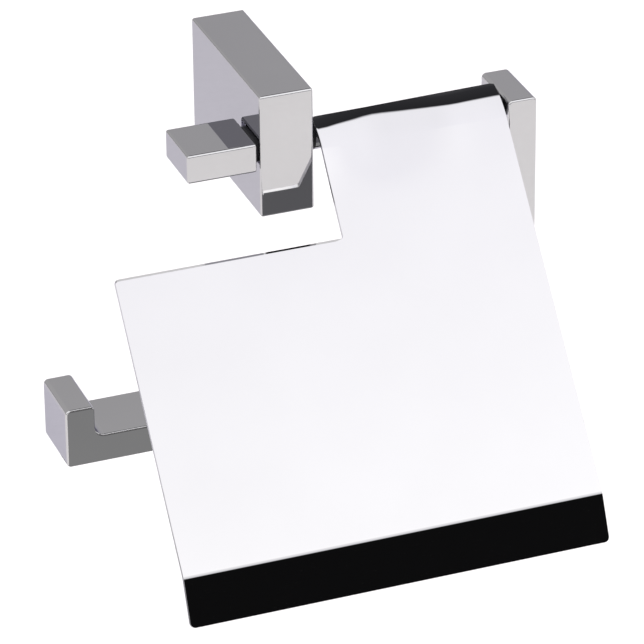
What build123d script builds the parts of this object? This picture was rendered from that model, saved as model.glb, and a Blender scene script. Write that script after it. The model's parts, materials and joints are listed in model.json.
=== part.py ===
from build123d import *
import math
import os

# Toilet paper holder with a lift-up cover.
# Frame: X to the right along the roll bar, +Y into the wall, Z up.
# Origin: centre of the wall post's back face, on the wall.  Millimetres.

# ---- driving dimensions ----
post_width = 17.0
post_depth = 60.0
post_height = 40.0
pocket_width = 13.0
pocket_height = 36.0
pocket_depth = 14.0
pocket_corner_radius = 1.0
edge_radius = 0.8

bracket_thickness = 6.0
bracket_play = 0.15
bracket_corner_radius = 0.9
wall_screw_radius = 2.25
wall_screw_head_radius = 4.2
wall_screw_head_angle = 90
wall_screw_spacing = 22.0

axis_y = -50.0
bar_thickness = 9.3
end_bar_length = 22.0
end_bar_depth = 20.0
gasket_thickness = 1.0
gasket_length = 15.0
gasket_height = 7.4
gasket_corner_radius = 3.2

arm_depth = 22.0
arm_right = 80.5
arm_left = -72.6
arm_top = bar_thickness / 2
arm_bottom = -92.6
lip_top = -73.0
arm_inner_radius = 3.0
arm_corner_radius = 1.5
arm_edge_radius = 0.7

rod_radius = 3.2
rod_neck_radius = 2.5
rod_neck_length = 14.0
rod_spigot_radius = 2.6
rod_spigot_length = 7.5
rod_end_chamfer = 0.5
fit_play = 0.05
bore_end_play = 0.3

cover_tilt = 38.7
cover_left = -61.5
cover_right = 71.4
cover_top_right = 70.0
tab_left = 10.4
tab_top_drop = 1.0
sheet_thickness = 1.2
sheet_offset = 9.6
notch_slope_length = 34.6
bend_slope_length = 124.9
lower_lip_length = 15.1
lower_lip_turn = 15.7
lower_bend_radius = 7.0
top_roll_radius = 20.0
top_roll_turn = 36.2
top_roll_start = 7.25
cover_corner_radius = 1.6
tight_corner_radius = 0.6
edge_trim = 0.05

barrel_radius = 4.9
barrel_bore_radius = 4.0
barrel_web_width = 4.0
barrel_setback = 0.1
flange_radius = 4.7
flange_thickness = 0.7
bush_length = 12.0
axial_play = 0.05
thin_washer = 0.4

grub_radius = 2.0
grub_play = 0.03
grub_chamfer = 0.4
grub_bore_overrun = 0.5
socket_flats = 2.0
socket_depth = 1.5
bracket_grub_length = 4.4
post_grub_length = 10.0
arm_grub_length = 6.0
pin_radius = 1.0
pin_length = 8.0
pin_inset = 6.5
pin_chamfer = 0.2

# ---- derived places ----
post_left = -post_width / 2
post_right = post_width / 2
post_front = -post_depth
end_bar_right = post_left - gasket_thickness
arm_inner = arm_right - bar_thickness
lip_inner = arm_left + bar_thickness
tilt = math.radians(cover_tilt)
slope_direction = (0, -math.sin(tilt), -math.cos(tilt))
cover_normal = (0, -math.cos(tilt), math.sin(tilt))
pin_y = axis_y + pin_inset
sheet_top_slope = top_roll_start - top_roll_radius * math.sin(math.radians(top_roll_turn)) + edge_trim
lip_run = lower_lip_length * math.cos(math.radians(lower_lip_turn))
sheet_end_slope = bend_slope_length + lip_run - edge_trim
arm_front = -axis_y + arm_depth / 2
spigot_x = arm_inner + rod_spigot_length / 2
flange_left = tab_left + barrel_setback
flange_right = cover_top_right - barrel_setback
barrel_start = flange_left + flange_thickness
barrel_end = flange_right - flange_thickness
roll_centre = (top_roll_start, sheet_offset - top_roll_radius)
sheet_back_radius = top_roll_radius - sheet_thickness


def cross_plane(x):
    """Plane across the roll bar at x, on the rod's axis, facing right."""
    return Plane(origin=(x, axis_y, 0), x_dir=(0, -1, 0), z_dir=(1, 0, 0))


def slope_plane(x):
    """Plane across the cover at x: its x runs down the slope, its y out of the cover."""
    return Plane(origin=(x, axis_y, 0), x_dir=slope_direction, z_dir=(-1, 0, 0))


def ring(x_start, x_end, outer, inner):
    """Round washer on the rod between two places along it."""
    with BuildPart() as washer:
        with BuildSketch(cross_plane(x_start)):
            Circle(outer)
            Circle(inner, mode=Mode.SUBTRACT)
        extrude(amount=x_end - x_start)
    return washer.part


def grub_screw(length):
    """Headless screw along +Z with its tip at the origin and a hex socket at its tail."""
    with BuildPart() as screw:
        with BuildSketch(Plane.XY.offset(-length)):
            Circle(grub_radius - grub_play)
        extrude(amount=length)
        chamfer(screw.edges().group_by(Axis.Z)[-1], grub_chamfer)
        with BuildSketch(Plane.XY.offset(-length)):
            RegularPolygon(socket_flats / 2, 6, major_radius=False)
        extrude(amount=socket_depth, mode=Mode.SUBTRACT)
    return screw.part


os.makedirs("parts", exist_ok=True)


def save(part, name):
    part.label = name
    export_step(part, f"parts/{name}.step")


# ---- wall post: a solid slab with a pocket at the wall ----
with BuildPart() as wall_post:
    with Locations((0, post_front / 2, 0)):
        Box(post_width, post_depth, post_height)
    outer_edges = wall_post.edges().filter_by(Axis.Y) + wall_post.faces().sort_by(Axis.Y)[0].edges()
    fillet(outer_edges, edge_radius)
    with BuildSketch(Plane.XZ):
        RectangleRounded(pocket_width, pocket_height, pocket_corner_radius)
    extrude(amount=pocket_depth, mode=Mode.SUBTRACT)
    with BuildSketch(cross_plane(post_left)):
        Circle(rod_radius + fit_play)
    extrude(amount=post_width, mode=Mode.SUBTRACT)
    with BuildSketch(Plane.XY.offset(-post_height / 2)):
        with Locations((0, axis_y), (0, -bracket_thickness / 2)):
            Circle(grub_radius)
    extrude(amount=post_height / 2 - rod_radius + grub_bore_overrun, mode=Mode.SUBTRACT)
    with BuildSketch(Plane(origin=(post_left, pin_y, 0), x_dir=(0, -1, 0), z_dir=(1, 0, 0))):
        Circle(pin_radius + fit_play)
    extrude(amount=pin_length / 2, mode=Mode.SUBTRACT)
save(wall_post.part, "wall_post")

# ---- wall bracket: fills the pocket's mouth, flush with the wall ----
bracket_height = pocket_height - 2 * bracket_play
with BuildPart() as wall_bracket:
    with BuildSketch(Plane.XZ):
        RectangleRounded(pocket_width - 2 * bracket_play, bracket_height, bracket_corner_radius)
    extrude(amount=bracket_thickness)
    with Locations(Plane(origin=(0, -bracket_thickness, 0), x_dir=(1, 0, 0), z_dir=(0, -1, 0))):
        with GridLocations(0, wall_screw_spacing, 1, 2):
            CounterSinkHole(
                wall_screw_radius,
                wall_screw_head_radius,
                counter_sink_angle=wall_screw_head_angle,
            )
    with BuildSketch(Plane.XY.offset(-bracket_height / 2)):
        with Locations((0, -bracket_thickness / 2)):
            Circle(grub_radius)
    extrude(amount=bracket_grub_length / 2, mode=Mode.SUBTRACT)
save(wall_bracket.part, "wall_bracket")

# ---- locking screws ----
bracket_grub_tip = -bracket_height / 2 + bracket_grub_length / 2
bracket_grub_screw = Pos(0, -bracket_thickness / 2, bracket_grub_tip) * grub_screw(bracket_grub_length)
save(bracket_grub_screw, "bracket_grub_screw")
post_set_screw = Pos(0, axis_y, -rod_radius) * grub_screw(post_grub_length)
save(post_set_screw, "post_set_screw")
arm_set_screw = Pos(spigot_x, axis_y + rod_spigot_radius, 0) * Rot(90, 0, 0) * grub_screw(arm_grub_length)
save(arm_set_screw, "arm_set_screw")

# ---- hinge rod: threaded neck in the end bar, spigot in the arm ----
with BuildPart() as hinge_rod:
    with BuildSketch(cross_plane(post_left)):
        Circle(rod_radius)
    extrude(amount=arm_inner - post_left)
    with BuildSketch(cross_plane(end_bar_right - rod_neck_length)):
        Circle(rod_neck_radius)
    extrude(amount=rod_neck_length + gasket_thickness)
    with BuildSketch(cross_plane(arm_inner)):
        Circle(rod_spigot_radius)
    extrude(amount=rod_spigot_length)
    chamfer(hinge_rod.faces().sort_by(Axis.X)[0].edges(), rod_end_chamfer)
    chamfer(hinge_rod.faces().sort_by(Axis.X)[-1].edges(), rod_end_chamfer)
save(hinge_rod.part, "hinge_rod")

# ---- end bar on the post's left side, its gasket and its dowel ----
with BuildPart() as end_bar:
    with Locations((end_bar_right - end_bar_length / 2, axis_y, 0)):
        Box(end_bar_length, end_bar_depth, bar_thickness)
    fillet(end_bar.edges(), edge_radius)
    with BuildSketch(cross_plane(end_bar_right)):
        Circle(rod_neck_radius + fit_play)
    extrude(amount=-rod_neck_length - bore_end_play, mode=Mode.SUBTRACT)
    with BuildSketch(Plane(origin=(end_bar_right, pin_y, 0), x_dir=(0, -1, 0), z_dir=(1, 0, 0))):
        Circle(pin_radius + fit_play)
    extrude(amount=-pin_length / 2, mode=Mode.SUBTRACT)
save(end_bar.part, "end_bar")

with BuildPart() as end_bar_gasket:
    with BuildSketch(cross_plane(end_bar_right)):
        RectangleRounded(gasket_length, gasket_height, gasket_corner_radius)
        Circle(rod_neck_radius + fit_play, mode=Mode.SUBTRACT)
        with Locations((-pin_inset, 0)):
            Circle(pin_radius + fit_play, mode=Mode.SUBTRACT)
    extrude(amount=gasket_thickness)
save(end_bar_gasket.part, "end_bar_gasket")

pin_start = end_bar_right + gasket_thickness / 2 - pin_length / 2 + bore_end_play
with BuildPart() as end_bar_pin:
    with BuildSketch(Plane(origin=(pin_start, pin_y, 0), x_dir=(0, -1, 0), z_dir=(1, 0, 0))):
        Circle(pin_radius)
    extrude(amount=pin_length - 2 * bore_end_play)
    chamfer(end_bar_pin.edges(), pin_chamfer)
save(end_bar_pin.part, "end_bar_pin")

# ---- roll arm: upright, roll bar and end lip in one piece ----
with BuildPart() as roll_arm:
    with BuildSketch(Plane.XZ.offset(arm_front - arm_depth)) as arm_sketch:
        with BuildLine():
            Polyline(
                (arm_right, arm_top),
                (arm_inner, arm_top),
                (arm_inner, arm_bottom + bar_thickness),
                (lip_inner, arm_bottom + bar_thickness),
                (lip_inner, lip_top),
                (arm_left, lip_top),
                (arm_left, arm_bottom),
                (arm_right, arm_bottom),
                close=True,
            )
        make_face()
        fillet(arm_sketch.vertices().group_by(Axis.Y)[1], arm_inner_radius)
        fillet(arm_sketch.vertices().group_by(Axis.Y)[0], arm_corner_radius)
        fillet(arm_sketch.vertices().group_by(Axis.Y)[-1], arm_corner_radius)
        for lip_corner in ((arm_left, lip_top), (lip_inner, lip_top)):
            fillet(arm_sketch.vertices().sort_by_distance(lip_corner)[0], arm_corner_radius)
    extrude(amount=arm_depth)
    fillet(roll_arm.faces().filter_by(Axis.Y).edges(), arm_edge_radius)
    with BuildSketch(cross_plane(arm_inner)):
        Circle(rod_spigot_radius + fit_play)
    extrude(amount=rod_spigot_length + bore_end_play, mode=Mode.SUBTRACT)
    with BuildSketch(Plane.XZ.offset(arm_front - arm_depth)):
        with Locations((spigot_x, 0)):
            Circle(grub_radius)
    extrude(amount=arm_depth / 2 - rod_spigot_radius + grub_bore_overrun, mode=Mode.SUBTRACT)
save(roll_arm.part, "roll_arm")

# ---- washers on the rod ----
arm_washer_start = flange_right + axial_play
arm_washer_end = arm_washer_start + thin_washer
post_washer = ring(post_right, flange_left - axial_play, flange_radius, rod_radius + 2 * fit_play)
save(post_washer, "post_washer")
arm_washer = ring(arm_washer_start, arm_washer_end, flange_radius, rod_radius + fit_play)
save(arm_washer, "arm_washer")
spring_start = arm_washer_end + axial_play
spring_washer = ring(spring_start, arm_inner - axial_play, flange_radius, rod_radius + fit_play)
save(spring_washer, "spring_washer")

# ---- cover panel: one bent sheet with a corner cut away for the post ----
with BuildPart() as cover_panel:
    with BuildSketch(slope_plane(cover_right)):
        with BuildLine() as outer_path:
            CenterArc(roll_centre, top_roll_radius, 90, top_roll_turn)
            Line((top_roll_start, sheet_offset), (bend_slope_length, sheet_offset))
            PolarLine((bend_slope_length, sheet_offset), lower_lip_length, -lower_lip_turn)
            fillet(outer_path.vertices().sort_by(Axis.X)[-2], lower_bend_radius)
            offset(amount=sheet_thickness, side=Side.LEFT)
        make_face()
    extrude(amount=cover_right - cover_left)
    with BuildSketch(Plane(origin=(0, axis_y, 0), x_dir=(1, 0, 0), z_dir=cover_normal)) as outline:
        with BuildLine():
            Polyline(
                (tab_left, -notch_slope_length),
                (tab_left, -sheet_top_slope - tab_top_drop),
                (cover_top_right, -sheet_top_slope),
                (cover_right, -sheet_end_slope),
                (cover_left, -sheet_end_slope),
                (cover_left, -notch_slope_length),
                close=True,
            )
        make_face()
        for tight_corner in ((tab_left, -notch_slope_length), (cover_top_right, -sheet_top_slope)):
            fillet(outline.vertices().sort_by_distance(tight_corner)[0], tight_corner_radius)
        for wide_corner in (
            (tab_left, -sheet_top_slope - tab_top_drop),
            (cover_right, -sheet_end_slope),
            (cover_left, -sheet_end_slope),
            (cover_left, -notch_slope_length),
        ):
            fillet(outline.vertices().sort_by_distance(wide_corner)[0], cover_corner_radius)
    extrude(amount=post_height, both=True, mode=Mode.INTERSECT)
save(cover_panel.part, "cover_panel")

# ---- hinge barrel: a tube with a web brazed to the back of the cover ----
def back_of_sheet(slope):
    """Point on the inside of the cover's rolled top, at this distance down the slope."""
    rise = math.sqrt(sheet_back_radius**2 - (slope - roll_centre[0]) ** 2)
    return (slope, roll_centre[1] + rise)


with BuildPart() as hinge_barrel:
    with BuildSketch(slope_plane(barrel_end)):
        Circle(barrel_radius)
        with BuildLine():
            half_web = barrel_web_width / 2
            web_top = ThreePointArc(back_of_sheet(-half_web), back_of_sheet(0), back_of_sheet(half_web))
            Polyline(web_top @ 1, (half_web, 0), (-half_web, 0), web_top @ 0)
        make_face()
        Circle(barrel_bore_radius, mode=Mode.SUBTRACT)
    extrude(amount=barrel_end - barrel_start)
save(hinge_barrel.part, "hinge_barrel")

# ---- flanged nylon bushes in the barrel's ends ----
for name, flange_start, sleeve_start in (
    ("bush_left", flange_left, barrel_start),
    ("bush_right", barrel_end, barrel_end - bush_length),
):
    with BuildPart() as bush:
        with BuildSketch(cross_plane(flange_start)):
            Circle(flange_radius)
        extrude(amount=flange_thickness)
        with BuildSketch(cross_plane(sleeve_start)):
            Circle(barrel_bore_radius)
        extrude(amount=bush_length)
        with BuildSketch(cross_plane(tab_left)):
            Circle(rod_radius + fit_play)
        extrude(amount=cover_right - tab_left, mode=Mode.SUBTRACT)
    save(bush.part, name)
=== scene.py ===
import json
import math

import bmesh
import bpy
from mathutils import Matrix, Vector


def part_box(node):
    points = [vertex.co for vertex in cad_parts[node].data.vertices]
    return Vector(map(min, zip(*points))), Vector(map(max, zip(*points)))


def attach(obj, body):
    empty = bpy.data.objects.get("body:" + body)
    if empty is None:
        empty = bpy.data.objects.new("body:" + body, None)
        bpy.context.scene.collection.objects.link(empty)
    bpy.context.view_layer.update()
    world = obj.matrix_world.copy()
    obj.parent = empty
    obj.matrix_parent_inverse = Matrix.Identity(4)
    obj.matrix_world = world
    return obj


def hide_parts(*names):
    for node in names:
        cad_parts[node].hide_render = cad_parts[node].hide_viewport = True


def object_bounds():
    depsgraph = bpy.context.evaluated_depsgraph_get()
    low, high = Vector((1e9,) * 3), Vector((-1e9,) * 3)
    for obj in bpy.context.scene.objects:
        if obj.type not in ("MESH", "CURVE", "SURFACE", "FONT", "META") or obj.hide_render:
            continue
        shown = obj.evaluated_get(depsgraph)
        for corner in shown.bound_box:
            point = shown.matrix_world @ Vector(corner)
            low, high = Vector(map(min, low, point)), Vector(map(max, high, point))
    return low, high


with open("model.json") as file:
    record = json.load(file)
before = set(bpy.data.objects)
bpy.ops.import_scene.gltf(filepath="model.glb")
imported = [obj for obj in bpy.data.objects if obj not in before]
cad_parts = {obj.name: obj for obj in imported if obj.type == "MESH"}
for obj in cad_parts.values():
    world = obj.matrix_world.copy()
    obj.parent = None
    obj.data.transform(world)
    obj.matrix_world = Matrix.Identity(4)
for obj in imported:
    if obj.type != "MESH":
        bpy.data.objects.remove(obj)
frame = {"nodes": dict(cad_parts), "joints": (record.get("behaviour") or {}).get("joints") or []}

MM = 0.001

# ---- camera ----
CAMERA_AZIMUTH = -20.51
CAMERA_ELEVATION = 28.57
CAMERA_ROLL = -0.6
CAMERA_DISTANCE = 1.45
CAMERA_LENS = 262.4
CAMERA_REACH = 50.0
SENSOR_WIDTH = 36.0
AIM = Vector((0.01599, -0.04544, -0.06788))

# ---- studio ----
FLOOR_DROP = 0.15
FLOOR_SIZE = 9.0
SHADE_DROP = 0.002
SHADE_SPAN = (-0.078, 0.096, -0.158, -0.03)

LIGHT_PLACE = Vector((0.1, 0.1, 1.6))
LIGHT_TARGET = Vector((0.1, 0.1, -0.25))
LIGHT_SIZE = 1.2
LIGHT_POWER = 15.7
STUDIO_STRENGTH = 1.8
# brightness of the studio by degrees round from level front, over the top, to level back
SOFT_BOX = (
    (0, (0.66, 0.655, 0.68)),
    (7.5, (0.66, 0.655, 0.68)),
    (10.5, (0.004, 0.004, 0.0042)),
    (22, (0.004, 0.004, 0.0042)),
    (25, (0.62, 0.62, 0.64)),
    (32, (0.80, 0.795, 0.81)),
    (37, (1.0, 0.995, 1.005)),
    (44, (0.99, 0.985, 1.0)),
    (51, (0.86, 0.852, 0.895)),
)
BACK_WALL = (
    (129, (0.33, 0.326, 0.33)),
    (180, (0.34, 0.336, 0.34)),
)
# the room at large, and the soft box with a black card below it and another above it
ROOM = (
    (0, (0.22, 0.22, 0.225)),
    (14, (0.28, 0.28, 0.285)),
    (28, (0.72, 0.715, 0.73)),
    (60, (0.86, 0.855, 0.87)),
    (88, (0.70, 0.695, 0.71)),
    (106, (0.26, 0.26, 0.265)),
) + BACK_WALL
CARDED_BOX = SOFT_BOX + (
    (89, (0.84, 0.835, 0.87)),
    (92, (0.018, 0.018, 0.02)),
    (112, (0.026, 0.026, 0.029)),
    (120, (0.05, 0.05, 0.054)),
) + BACK_WALL
# where, by a direction's part to the right, the room gives way to the box and the box to the room,
# and how much brighter the box grows on its right
BOX_STARTS = (0.08, 0.17)
BOX_ENDS = (0.5, 0.8)
BOX_ACROSS = (0.2, 0.4)
BOX_GROWTH = (0.95, 1.03)

# ---- materials ----
CHROME_EDGE = (0.57, 0.565, 0.65, 1.0)
# the part of a noise value's range that does the work
NOISE_RANGE = (0.3, 0.7)

# ---- cover sheet ----
COVER_TILT = math.radians(38.7)
SHEET_OFFSET = 9.6 * MM
SHEET_THICKNESS = 1.2 * MM
ROLL_RADIUS = 20.0 * MM
ROLL_TURN = math.radians(36.2)
ROLL_START = 7.25 * MM
BEND_SLOPE = 124.9 * MM
BEND_RADIUS = 7.0 * MM
BEND_TURN = math.radians(15.7)
LIP_LENGTH = 15.05 * MM
NOTCH_SLOPE = 34.6 * MM
NOTCH_X = 10.4 * MM
TAB_DROP = 1.0 * MM
TOP_RIGHT_X = 70.0 * MM
CORNER_RADIUS = 1.6 * MM
TIGHT_RADIUS = 0.6 * MM
RIM_RADIUS = 0.45 * MM
RIM_STEPS = 3
RIM_ANGLE = 1.0
CUT_EDGE = 0.5
# faces of the cut edge that look up the sheet past this get the painted highlight
LEVEL_EDGE_HIGHLIGHT = -0.9
CORNER_STEPS = 6
SHEET_COLUMNS = 44
SHEET_ROWS = (22, 34, 6, 6)
CUT_REACH = 1e-7
STRAIGHT = 1e-9
# the notch's level edge leans back toward the sheet's inner side, and stops leaning within this reach
NOTCH_LEAN = 0.66
LEAN_REACH = 1.5 * MM
# the hand-rolled top edge: extra turn of the sheet, in radians, by place along the rod
WAVE_REACH = 9.0 * MM
WAVE_GAIN = 1.65
WAVES = (
    (10.4, 0.044), (13.0, 0.008), (18.2, -0.022), (23.4, -0.048), (27.4, -0.070),
    (31.0, -0.062), (36.5, -0.045), (41.8, -0.030), (47.0, -0.008), (52.0, 0.015),
    (57.0, 0.001), (62.0, -0.008), (66.0, -0.014), (70.5, -0.004),
)

cad_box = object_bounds()


# ---------------------------------------------------------------- materials
def new_material(name):
    """A node material and its Principled shader."""
    material = bpy.data.materials.new(name)
    material.use_nodes = True
    nodes = material.node_tree.nodes
    return material, nodes, material.node_tree.links, nodes["Principled BSDF"]


def noise(nodes, links, scale, detail=2.0, roughness=0.5, stretch=None):
    """Noise over the object's own coordinates, in metres."""
    place = nodes.new("ShaderNodeTexCoord")
    texture = nodes.new("ShaderNodeTexNoise")
    texture.inputs["Scale"].default_value = scale
    texture.inputs["Detail"].default_value = detail
    texture.inputs["Roughness"].default_value = roughness
    if stretch is None:
        links.new(place.outputs["Object"], texture.inputs["Vector"])
    else:
        mapping = nodes.new("ShaderNodeMapping")
        mapping.inputs["Scale"].default_value = stretch
        links.new(place.outputs["Object"], mapping.inputs["Vector"])
        links.new(mapping.outputs["Vector"], texture.inputs["Vector"])
    return texture.outputs["Fac"]


def spread(nodes, links, value, low, high):
    """Maps a noise value onto a range."""
    ranger = nodes.new("ShaderNodeMapRange")
    ranger.inputs["From Min"].default_value, ranger.inputs["From Max"].default_value = NOISE_RANGE
    ranger.inputs["To Min"].default_value = low
    ranger.inputs["To Max"].default_value = high
    links.new(value, ranger.inputs["Value"])
    return ranger.outputs["Result"]


def tint(nodes, links, value, dark, light):
    """Mixes two colours by a noise value."""
    mix = nodes.new("ShaderNodeMix")
    mix.data_type = "RGBA"
    mix.inputs["A"].default_value = (*dark, 1.0)
    mix.inputs["B"].default_value = (*light, 1.0)
    links.new(spread(nodes, links, value, 0.0, 1.0), mix.inputs["Factor"])
    return mix.outputs["Result"]


def bump(nodes, links, height, strength, distance):
    """Turns a height value into a normal."""
    node = nodes.new("ShaderNodeBump")
    node.inputs["Strength"].default_value = strength
    node.inputs["Distance"].default_value = distance
    links.new(height, node.inputs["Height"])
    return node.outputs["Normal"]


def chrome(name, dark, light, smooth, rough, edge=CHROME_EDGE):
    """Polished chromium plate: faint haze that comes and goes, and a trace of hand-polishing marks."""
    material, nodes, links, shader = new_material(name)
    shader.inputs["Metallic"].default_value = 1.0
    shader.inputs["Specular Tint"].default_value = edge
    cloud = noise(nodes, links, scale=28.0, detail=3.0)
    links.new(tint(nodes, links, cloud, dark, light), shader.inputs["Base Color"])
    haze = noise(nodes, links, scale=90.0, detail=4.0, roughness=0.6)
    links.new(spread(nodes, links, haze, smooth, rough), shader.inputs["Roughness"])
    peel = noise(nodes, links, scale=420.0, detail=1.0)
    links.new(bump(nodes, links, peel, strength=0.03, distance=0.02 * MM), shader.inputs["Normal"])
    return material


def brushed(name, dark, light, stretch, smooth, rough):
    """Plain or plated steel with fine lines along one way."""
    material, nodes, links, shader = new_material(name)
    shader.inputs["Metallic"].default_value = 1.0
    lines = noise(nodes, links, scale=300.0, detail=4.0, roughness=0.6, stretch=stretch)
    links.new(tint(nodes, links, lines, dark, light), shader.inputs["Base Color"])
    links.new(spread(nodes, links, lines, smooth, rough), shader.inputs["Roughness"])
    links.new(bump(nodes, links, lines, strength=0.25, distance=0.05 * MM), shader.inputs["Normal"])
    return material


def nylon(name):
    """Black moulded nylon with a fine matt grain."""
    material, nodes, links, shader = new_material(name)
    grain = noise(nodes, links, scale=2500.0, detail=3.0, roughness=0.6)
    black = tint(nodes, links, grain, dark=(0.006, 0.006, 0.007), light=(0.016, 0.016, 0.018))
    links.new(black, shader.inputs["Base Color"])
    links.new(spread(nodes, links, grain, low=0.38, high=0.55), shader.inputs["Roughness"])
    links.new(bump(nodes, links, grain, strength=0.2, distance=0.03 * MM), shader.inputs["Normal"])
    return material


def dress(node, material):
    """Gives a CAD node its material."""
    piece = frame["nodes"][node]
    if not piece.material_slots:
        piece.data.materials.append(material)
    for holder in piece.material_slots:
        holder.material = material


body_chrome = chrome(
    "body_chrome", dark=(0.540, 0.538, 0.540), light=(0.560, 0.558, 0.560), smooth=0.015, rough=0.045
)
cover_chrome = chrome(
    "cover_chrome", dark=(0.543, 0.540, 0.546), light=(0.557, 0.554, 0.560), smooth=0.012, rough=0.035
)
zinc = brushed(
    "zinc_plate", dark=(0.42, 0.43, 0.42), light=(0.62, 0.62, 0.58),
    stretch=(1.0, 1.0, 12.0), smooth=0.28, rough=0.42
)
ground_steel = brushed(
    "ground_steel", dark=(0.45, 0.45, 0.46), light=(0.62, 0.62, 0.63),
    stretch=(14.0, 1.0, 1.0), smooth=0.18, rough=0.3
)
black_steel = brushed(
    "black_oxide", dark=(0.03, 0.03, 0.032), light=(0.07, 0.07, 0.075),
    stretch=(1.0, 1.0, 1.0), smooth=0.28, rough=0.42
)
cut_edge = chrome(
    "cut_edge", dark=(0.60, 0.598, 0.60), light=(0.68, 0.678, 0.68), smooth=0.22, rough=0.34
)
# painted highlight: a near-white, glossier copy of the cut edge's chrome for the notch's level edge, so
# that its reflection shows as a white line
level_edge_highlight = chrome(
    "level_edge_highlight", dark=(0.95, 0.948, 0.95), light=(0.98, 0.978, 0.98), smooth=0.06, rough=0.12,
    edge=(1.0, 1.0, 1.0, 1.0)
)
black_nylon = nylon("black_nylon")

for node, material in (
    ("wall_post", body_chrome),
    ("end_bar", body_chrome),
    ("roll_arm", body_chrome),
    ("hinge_barrel", cover_chrome),
    ("wall_bracket", zinc),
    ("hinge_rod", ground_steel),
    ("spring_washer", ground_steel),
    ("end_bar_pin", ground_steel),
    ("bracket_grub_screw", black_steel),
    ("post_set_screw", black_steel),
    ("arm_set_screw", black_steel),
    ("end_bar_gasket", black_nylon),
    ("post_washer", black_nylon),
    ("arm_washer", black_nylon),
    ("bush_left", black_nylon),
    ("bush_right", black_nylon),
):
    dress(node, material)


# ---------------------------------------------------------------- cover sheet
hinge = Vector(frame["joints"][0]["pos_m"])
slope_way = Vector((0.0, -math.sin(COVER_TILT), -math.cos(COVER_TILT)))
outward = Vector((0.0, -math.cos(COVER_TILT), math.sin(COVER_TILT)))
bend_tangent = BEND_RADIUS * math.tan(BEND_TURN / 2)
# each run of the sheet from its top edge down: length along its outer side, and how far it turns
sheet_runs = (
    (ROLL_RADIUS * ROLL_TURN, -ROLL_TURN),
    (BEND_SLOPE - bend_tangent - ROLL_START, 0.0),
    (BEND_RADIUS * BEND_TURN, -BEND_TURN),
    (LIP_LENGTH - bend_tangent, 0.0),
)
sheet_length = sum(length for length, _ in sheet_runs)
roll_length = sheet_runs[0][0]
notch_distance = roll_length + NOTCH_SLOPE - ROLL_START
sheet_low, sheet_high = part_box("cover_panel")
sheet_left, sheet_right = sheet_low.x, sheet_high.x


def sheet_place(distance):
    """Slope, height and direction angle of the sheet's outer side, this far from its top edge."""
    slope = ROLL_START - ROLL_RADIUS * math.sin(ROLL_TURN)
    height = SHEET_OFFSET - ROLL_RADIUS * (1 - math.cos(ROLL_TURN))
    angle = ROLL_TURN
    for length, turn in sheet_runs:
        step = min(distance, length)
        part = turn * step / length
        chord = step if abs(part) < STRAIGHT else 2 * step / part * math.sin(part / 2)
        slope += chord * math.cos(angle + part / 2)
        height += chord * math.sin(angle + part / 2)
        angle += part
        distance -= step
        if distance <= 0:
            break
    return slope, height, angle


def wave(x):
    """Extra turn of the rolled top at this place along the rod, smoothly between the listed places."""
    place = x / MM
    if place <= WAVES[0][0]:
        return WAVES[0][1]
    for (start, low), (end, high) in zip(WAVES, WAVES[1:]):
        if place <= end:
            part = (place - start) / (end - start)
            part = part * part * (3 - 2 * part)
            return low + (high - low) * part
    return WAVES[-1][1]


def ripple(x, distance):
    """How far the hand-rolled sheet stands off its true surface."""
    return wave(x) * WAVE_GAIN * distance * math.exp(-((distance / WAVE_REACH) ** 2) / 2)


def sheet_point(x, distance, depth):
    """A point of the sheet: across, down from its top edge, and in from its outer side."""
    slope, height, angle = sheet_place(distance)
    rise = ripple(x, distance) - depth
    slope -= rise * math.sin(angle)
    height += rise * math.cos(angle)
    place = hinge + slope_way * slope + outward * height
    return Vector((x, place.y, place.z))


def lean(across, distance, depth):
    """How far the notch's level edge stands back at this place of the flat sheet."""
    beside = min(max((NOTCH_X - across) / LEAN_REACH, 0.0), 1.0)
    below = max(1.0 - abs(distance - notch_distance) / LEAN_REACH, 0.0)
    return (SHEET_THICKNESS - depth) * NOTCH_LEAN * beside * below


def rounded_corner(corner, before, after, radius):
    """Points of an outline's corner, rounded to a radius."""
    into, out = (before - corner).normalized(), (after - corner).normalized()
    start, end = corner + into * radius, corner + out * radius
    centre = start + out * radius
    points = []
    for i in range(CORNER_STEPS + 1):
        turn = math.pi / 2 * i / CORNER_STEPS
        points.append(centre + (start - centre) * math.cos(turn) + (end - centre) * math.sin(turn))
    return points


def sheet_outline():
    """The flat sheet before it is bent: across by down."""
    corners = (
        ((NOTCH_X, notch_distance), TIGHT_RADIUS),
        ((NOTCH_X, TAB_DROP), CORNER_RADIUS),
        ((TOP_RIGHT_X, 0.0), TIGHT_RADIUS),
        ((sheet_right, sheet_length), CORNER_RADIUS),
        ((sheet_left, sheet_length), CORNER_RADIUS),
        ((sheet_left, notch_distance), CORNER_RADIUS),
    )
    points = []
    for i, (corner, radius) in enumerate(corners):
        before, after = corners[i - 1][0], corners[(i + 1) % len(corners)][0]
        points += rounded_corner(Vector(corner), Vector(before), Vector(after), radius)
    return points


def cut_lines():
    """Places where the flat sheet is divided, so that it can bend: (axis, place)."""
    lines = []
    for i in range(1, SHEET_COLUMNS):
        lines.append(((1, 0, 0), sheet_left + (sheet_right - sheet_left) * i / SHEET_COLUMNS))
    start = 0.0
    for (length, _), rows in zip(sheet_runs, SHEET_ROWS):
        for i in range(rows):
            if start + i > 0:
                lines.append(((0, 1, 0), start + length * i / rows))
        start += length
    return lines


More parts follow.
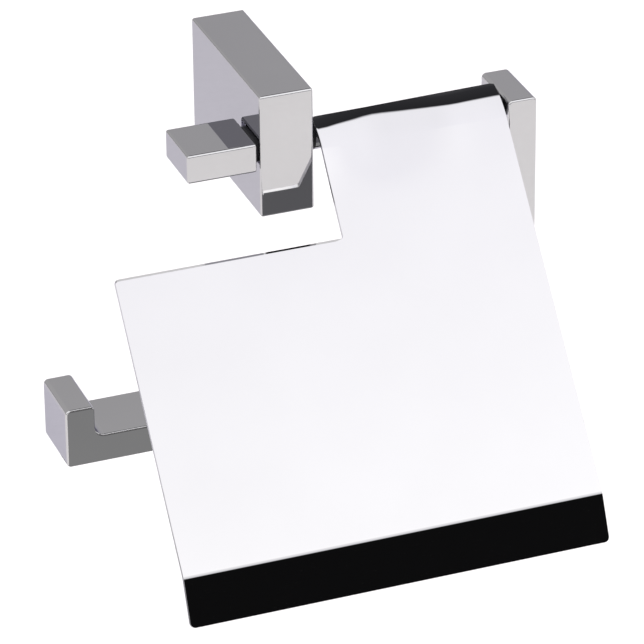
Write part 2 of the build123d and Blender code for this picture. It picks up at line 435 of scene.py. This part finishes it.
def make_cover():
    """The bent sheet, from its flat outline: cut, thickened, its rims eased, then rolled and folded."""
    mesh = bpy.data.meshes.new("cover_sheet")
    sheet = bmesh.new()
    rim = [sheet.verts.new((point.x, point.y, 0.0)) for point in sheet_outline()]
    sheet.faces.new(rim)
    for axis, place in cut_lines():
        everything = sheet.verts[:] + sheet.edges[:] + sheet.faces[:]
        origin = Vector(axis) * place
        bmesh.ops.bisect_plane(sheet, geom=everything, dist=CUT_REACH, plane_co=origin, plane_no=axis)
    raised = bmesh.ops.extrude_face_region(sheet, geom=sheet.faces[:])
    for item in raised["geom"]:
        if isinstance(item, bmesh.types.BMVert):
            item.co.z = SHEET_THICKNESS
    bmesh.ops.recalc_face_normals(sheet, faces=sheet.faces[:])
    rims = [
        edge for edge in sheet.edges
        if len(edge.link_faces) == 2 and edge.calc_face_angle() > RIM_ANGLE
        and edge.verts[0].co.z == edge.verts[1].co.z
    ]
    bmesh.ops.bevel(
        sheet, geom=rims, offset=RIM_RADIUS, segments=RIM_STEPS, profile=0.5,
        affect="EDGES", clamp_overlap=True
    )
    sheet.normal_update()
    # the sheet's sides, its cut edge, and the part of the cut edge that looks up the sheet, which gets a
    # painted highlight: a brighter, glossier copy of the cut edge's chrome
    for face in sheet.faces:
        face.material_index = int(abs(face.normal.z) < CUT_EDGE) + int(face.normal.y < LEVEL_EDGE_HIGHLIGHT)
    for vertex in sheet.verts:
        across, distance, depth = vertex.co
        vertex.co = sheet_point(across, distance + lean(across, distance, depth), depth)
    bmesh.ops.recalc_face_normals(sheet, faces=sheet.faces[:])
    for face in sheet.faces:
        face.smooth = True
    sheet.to_mesh(mesh)
    sheet.free()
    cover = bpy.data.objects.new("cover_sheet", mesh)
    bpy.context.scene.collection.objects.link(cover)
    cover.data.materials.append(cover_chrome)
    cover.data.materials.append(cut_edge)
    cover.data.materials.append(level_edge_highlight)
    cover.modifiers.new("weighted", "WEIGHTED_NORMAL")
    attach(cover, "cover")
    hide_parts("cover_panel")


make_cover()


# ---------------------------------------------------------------- studio
def make_floor():
    """A plain pale floor well below the object, which hangs on a wall in use."""
    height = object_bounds()[0][2] - FLOOR_DROP
    mesh = bpy.data.meshes.new("floor")
    half = FLOOR_SIZE / 2
    corners = [(x * half, y * half, height) for x, y in ((-1, -1), (1, -1), (1, 1), (-1, 1))]
    mesh.from_pydata(corners, [], [(0, 1, 2, 3)])
    floor = bpy.data.objects.new("floor", mesh)
    bpy.context.scene.collection.objects.link(floor)
    material, nodes, links, shader = new_material("pale_floor")
    paper = noise(nodes, links, scale=300.0)
    pale = tint(nodes, links, paper, dark=(0.89, 0.87, 0.865), light=(0.92, 0.90, 0.895))
    links.new(pale, shader.inputs["Base Color"])
    shader.inputs["Roughness"].default_value = 0.8
    floor.data.materials.append(material)


def make_shade():
    """The shade that lies under the object, seen only in its reflections."""
    height = cad_box[0][2] - SHADE_DROP
    mesh = bpy.data.meshes.new("shade")
    left, right, near, far = SHADE_SPAN
    corners = [(x, y, height) for x, y in ((left, near), (right, near), (right, far), (left, far))]
    mesh.from_pydata(corners, [], [(0, 1, 2, 3)])
    shade = bpy.data.objects.new("shade", mesh)
    bpy.context.scene.collection.objects.link(shade)
    material, nodes, links, shader = new_material("soft_shade")
    cloud = noise(nodes, links, scale=12.0, detail=1.0)
    nodes.remove(shader)
    glow = nodes.new("ShaderNodeEmission")
    grey = tint(nodes, links, cloud, dark=(0.33, 0.33, 0.335), light=(0.36, 0.36, 0.362))
    links.new(grey, glow.inputs["Color"])
    links.new(glow.outputs["Emission"], nodes["Material Output"].inputs["Surface"])
    shade.data.materials.append(material)
    shade.visible_camera = False
    shade.visible_diffuse = False
    shade.visible_shadow = False


def make_light():
    """One large square studio light overhead, seen only by what it falls on."""
    data = bpy.data.lights.new("overhead", "AREA")
    data.shape = "SQUARE"
    data.size = LIGHT_SIZE
    data.energy = LIGHT_POWER
    light = bpy.data.objects.new("overhead", data)
    light.location = LIGHT_PLACE
    light.rotation_euler = (LIGHT_TARGET - LIGHT_PLACE).to_track_quat("-Z", "Y").to_euler()
    light.visible_glossy = False
    light.visible_camera = False
    bpy.context.scene.collection.objects.link(light)


def ramp(nodes, links, value, stops):
    """A colour ramp with these stops: (degrees round from level front, colour)."""
    node = nodes.new("ShaderNodeValToRGB")
    elements = node.color_ramp.elements
    while len(elements) < len(stops):
        elements.new(0.5)
    for element, (degrees, colour) in zip(elements, stops):
        element.position = math.radians(degrees) / math.pi
        element.color = (*colour, 1.0)
    links.new(value, node.inputs["Fac"])
    return node.outputs["Color"]


def crossing(nodes, links, value, between, before, after):
    """One colour up to the first of two values, another past the second, and a smooth change between."""
    step = nodes.new("ShaderNodeMapRange")
    step.interpolation_type = "SMOOTHSTEP"
    step.inputs["From Min"].default_value, step.inputs["From Max"].default_value = between
    links.new(value, step.inputs["Value"])
    mix = nodes.new("ShaderNodeMix")
    mix.data_type = "RGBA"
    links.new(step.outputs["Result"], mix.inputs["Factor"])
    links.new(before, mix.inputs["A"])
    links.new(after, mix.inputs["B"])
    return mix.outputs["Result"]


def make_world():
    """A soft box between two black cards in a grey room, by direction; a camera sees plain white."""
    world = bpy.data.worlds.new("studio")
    bpy.context.scene.world = world
    world.use_nodes = True
    nodes, links = world.node_tree.nodes, world.node_tree.links
    nodes.clear()
    place = nodes.new("ShaderNodeTexCoord")
    axes = nodes.new("ShaderNodeSeparateXYZ")
    links.new(place.outputs["Generated"], axes.inputs["Vector"])
    ahead = nodes.new("ShaderNodeMath")
    ahead.operation = "MULTIPLY"
    ahead.inputs[1].default_value = -1.0
    links.new(axes.outputs["Y"], ahead.inputs[0])
    turn = nodes.new("ShaderNodeMath")
    turn.operation = "ARCTAN2"
    links.new(axes.outputs["Z"], turn.inputs[0])
    links.new(ahead.outputs["Value"], turn.inputs[1])
    round_from_front = nodes.new("ShaderNodeMath")
    round_from_front.operation = "DIVIDE"
    round_from_front.inputs[1].default_value = math.pi
    links.new(turn.outputs["Value"], round_from_front.inputs[0])
    room = ramp(nodes, links, round_from_front.outputs["Value"], ROOM)
    box = ramp(nodes, links, round_from_front.outputs["Value"], CARDED_BOX)
    across = nodes.new("ShaderNodeMapRange")
    across.inputs["From Min"].default_value, across.inputs["From Max"].default_value = BOX_ACROSS
    across.inputs["To Min"].default_value, across.inputs["To Max"].default_value = BOX_GROWTH
    links.new(axes.outputs["X"], across.inputs["Value"])
    sloped = nodes.new("ShaderNodeVectorMath")
    sloped.operation = "SCALE"
    links.new(box, sloped.inputs["Vector"])
    links.new(across.outputs["Result"], sloped.inputs["Scale"])
    started = crossing(nodes, links, axes.outputs["X"], BOX_STARTS, room, sloped.outputs["Vector"])
    around = crossing(nodes, links, axes.outputs["X"], BOX_ENDS, started, room)
    studio = nodes.new("ShaderNodeBackground")
    studio.inputs["Strength"].default_value = STUDIO_STRENGTH
    links.new(around, studio.inputs["Color"])
    plain = nodes.new("ShaderNodeBackground")
    plain.inputs["Color"].default_value = (1.0, 1.0, 1.0, 1.0)
    seen = nodes.new("ShaderNodeLightPath")
    choose = nodes.new("ShaderNodeMixShader")
    links.new(seen.outputs["Is Camera Ray"], choose.inputs["Fac"])
    links.new(studio.outputs["Background"], choose.inputs[1])
    links.new(plain.outputs["Background"], choose.inputs[2])
    output = nodes.new("ShaderNodeOutputWorld")
    links.new(choose.outputs["Shader"], output.inputs["Surface"])


def make_camera():
    """The camera, at the photo's viewing angle."""
    azimuth, elevation = math.radians(CAMERA_AZIMUTH), math.radians(CAMERA_ELEVATION)
    roll = math.radians(CAMERA_ROLL)
    back = Vector((
        math.sin(azimuth) * math.cos(elevation),
        -math.cos(azimuth) * math.cos(elevation),
        math.sin(elevation),
    ))
    level = Vector((0, 0, 1)).cross(back).normalized()
    upright = back.cross(level)
    right = level * math.cos(roll) + upright * math.sin(roll)
    up = upright * math.cos(roll) - level * math.sin(roll)
    data = bpy.data.cameras.new("camera")
    data.lens = CAMERA_LENS
    data.sensor_width = SENSOR_WIDTH
    data.clip_end = CAMERA_REACH
    camera = bpy.data.objects.new("camera", data)
    turn = Matrix((right, up, back)).transposed().to_4x4()
    camera.matrix_world = Matrix.Translation(AIM + back * CAMERA_DISTANCE) @ turn
    bpy.context.scene.collection.objects.link(camera)
    bpy.context.scene.camera = camera


make_floor()
make_shade()
make_light()
make_world()
make_camera()
bpy.context.scene.view_settings.view_transform = "Standard"
